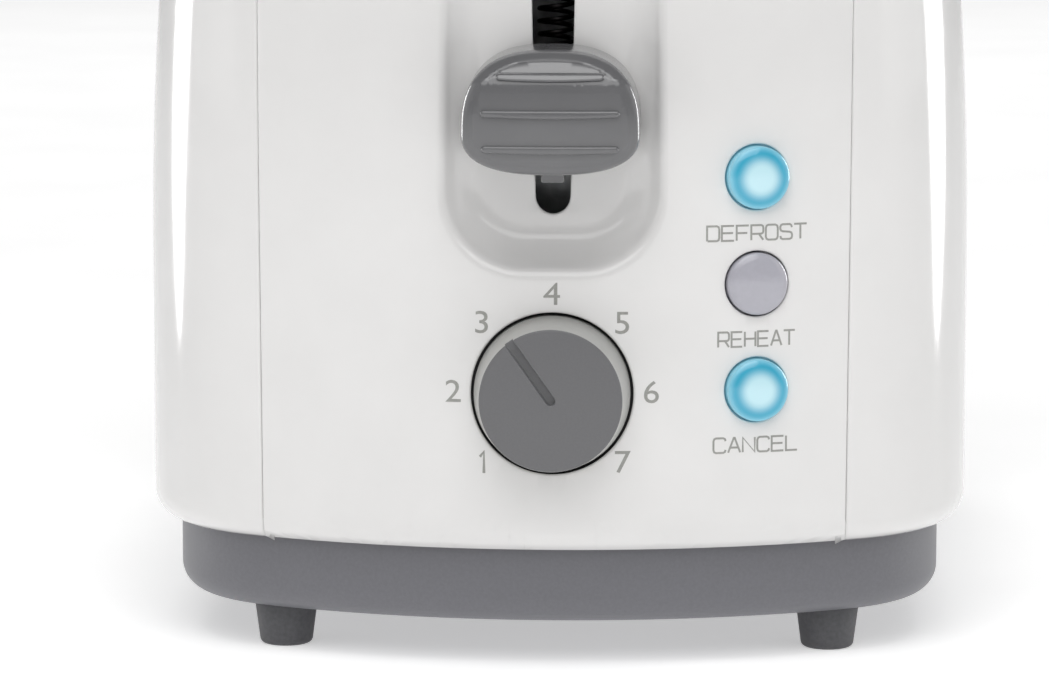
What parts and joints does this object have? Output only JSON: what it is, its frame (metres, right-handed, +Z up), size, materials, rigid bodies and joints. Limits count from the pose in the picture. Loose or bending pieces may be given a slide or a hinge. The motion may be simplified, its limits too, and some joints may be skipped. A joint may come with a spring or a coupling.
{
  "type": "pop-up toaster",
  "caption": "Two-slice pop-up toaster with an end lever in a scooped panel, browning dial, push buttons, bread carriage and pull-out crumb tray.",
  "frame": {"origin": "on the counter, under the middle of the whole object's box", "axes": "+Z up, -Y towards the lever end, +X to the right seen from the lever end"},
  "size_m": [0.176, 0.301, 0.1908],
  "materials": {
    "housing_panel": "glossy moulded",
    "housing_side": "glossy moulded",
    "brushed_steel": "brushed",
    "base_plastic": "fine satin moulding",
    "foot_rubber": "moulded rubber",
    "screw_steel": "zinc plated",
    "tray_aluminium": "rolled sheet",
    "chassis_steel": "aluminised sheet",
    "mica": "mica board",
    "nichrome": "oxidised resistance ribbon",
    "wire_chrome": "plated wire",
    "core_iron": "laminated iron",
    "coil_copper": "enamelled copper winding",
    "ivory_plastic": "moulded",
    "brass_blades": "stamped",
    "board_green": "solder mask",
    "dark_plastic": "moulded",
    "lamp_blue": "translucent",
    "lit_button": "translucent, lit from behind",
    "unlit_button": "translucent, unlit",
    "control_plastic": "glossy moulded"
  },
  "bodies": {
    "housing": {"front_panel": "housing_panel", "rear_panel": "housing_panel", "side_shell_left": "housing_side", "side_shell_right": "housing_side", "top_cover": "housing_panel", "slot_liner_left": "brushed_steel", "slot_liner_right": "brushed_steel", "base_tray": "base_plastic", "feet": "foot_rubber", "foot_screws": "screw_steel", "shell_screws": "screw_steel", "chassis_front": "chassis_steel", "chassis_rear": "chassis_steel", "reflector_left": "tray_aluminium", "reflector_right": "tray_aluminium", "centre_divider": "tray_aluminium", "board_left_outer": "mica", "board_left_inner": "mica", "board_right_inner": "mica", "board_right_outer": "mica", "winding_left_outer": "nichrome", "winding_left_inner": "nichrome", "winding_right_inner": "nichrome", "winding_right_outer": "nichrome", "guide_posts": "wire_chrome", "magnet_core": "core_iron", "magnet_coil": "coil_copper", "switch_block": "ivory_plastic", "switch_blades": "brass_blades", "control_board": "board_green", "board_standoffs": "brass_blades", "button_switches": "dark_plastic", "indicator_lamps": "lamp_blue", "button_holder": "ivory_plastic", "dial_seat": "dark_plastic", "dial_pot": "dark_plastic", "terminal_block": "ivory_plastic", "cord_gland": "base_plastic"},
    "carriage": {"carriage_bracket": "chassis_steel", "armature": "core_iron", "lifter_left": "chassis_steel", "lifter_right": "chassis_steel", "lever_knob": "control_plastic", "return_spring": "screw_steel"},
    "guide_lo": {"guide_left_outer": "wire_chrome"},
    "guide_li": {"guide_left_inner": "wire_chrome"},
    "guide_ri": {"guide_right_inner": "wire_chrome"},
    "guide_ro": {"guide_right_outer": "wire_chrome"},
    "dial": {"dial_knob": "control_plastic", "dial_shaft": "screw_steel"},
    "defrost": {"button_defrost": "lit_button"},
    "reheat": {"button_reheat": "unlit_button"},
    "cancel": {"button_cancel": "lit_button"},
    "crumb_tray": {"crumb_tray": "tray_aluminium"}
  },
  "joints": [
    {"name": "carriage_slide", "type": "slide", "parent": "housing", "child": "carriage", "axis": [0, 0, 1], "range_m": [0, 0.046], "deforming": ["return_spring"]},
    {"name": "guide_left_outer_swing", "type": "hinge", "parent": "housing", "child": "guide_lo", "pos_m": [-0.0395, 0.0045, 0.05], "axis": [0, -1, 0], "range_deg": [0, 4.05]},
    {"name": "guide_left_inner_swing", "type": "hinge", "parent": "housing", "child": "guide_li", "pos_m": [-0.0165, 0.0045, 0.05], "axis": [0, 1, 0], "range_deg": [0, 4.05]},
    {"name": "guide_right_inner_swing", "type": "hinge", "parent": "housing", "child": "guide_ri", "pos_m": [0.0165, 0.0045, 0.05], "axis": [0, -1, 0], "range_deg": [0, 4.05]},
    {"name": "guide_right_outer_swing", "type": "hinge", "parent": "housing", "child": "guide_ro", "pos_m": [0.0395, 0.0045, 0.05], "axis": [0, 1, 0], "range_deg": [0, 4.05]},
    {"name": "dial_turn", "type": "hinge", "parent": "housing", "child": "dial", "pos_m": [0, -0.1455, 0.0594], "axis": [0, -1, 0], "range_deg": [-170.2, 99.8]},
    {"name": "defrost_press", "type": "slide", "parent": "housing", "child": "defrost", "axis": [-0.2872, 0.9579, 0], "range_m": [0, 0.0012], "stiffness_N_per_m": 400, "springref_m": -0.001},
    {"name": "reheat_press", "type": "slide", "parent": "housing", "child": "reheat", "axis": [-0.2872, 0.9579, 0], "range_m": [0, 0.0012], "stiffness_N_per_m": 400, "springref_m": -0.001},
    {"name": "cancel_press", "type": "slide", "parent": "housing", "child": "cancel", "axis": [-0.2872, 0.9579, 0], "range_m": [0, 0.0012], "stiffness_N_per_m": 400, "springref_m": -0.001},
    {"name": "crumb_tray_slide", "type": "slide", "parent": "housing", "child": "crumb_tray", "axis": [0, 1, 0], "range_m": [0, 0.2]}
  ],
  "couplings": [
    {"joint": "guide_left_outer_swing", "follows": "carriage_slide", "rad_per_m": 1.5177},
    {"joint": "guide_left_inner_swing", "follows": "carriage_slide", "rad_per_m": 1.5177},
    {"joint": "guide_right_inner_swing", "follows": "carriage_slide", "rad_per_m": 1.5177},
    {"joint": "guide_right_outer_swing", "follows": "carriage_slide", "rad_per_m": 1.5177}
  ]
}
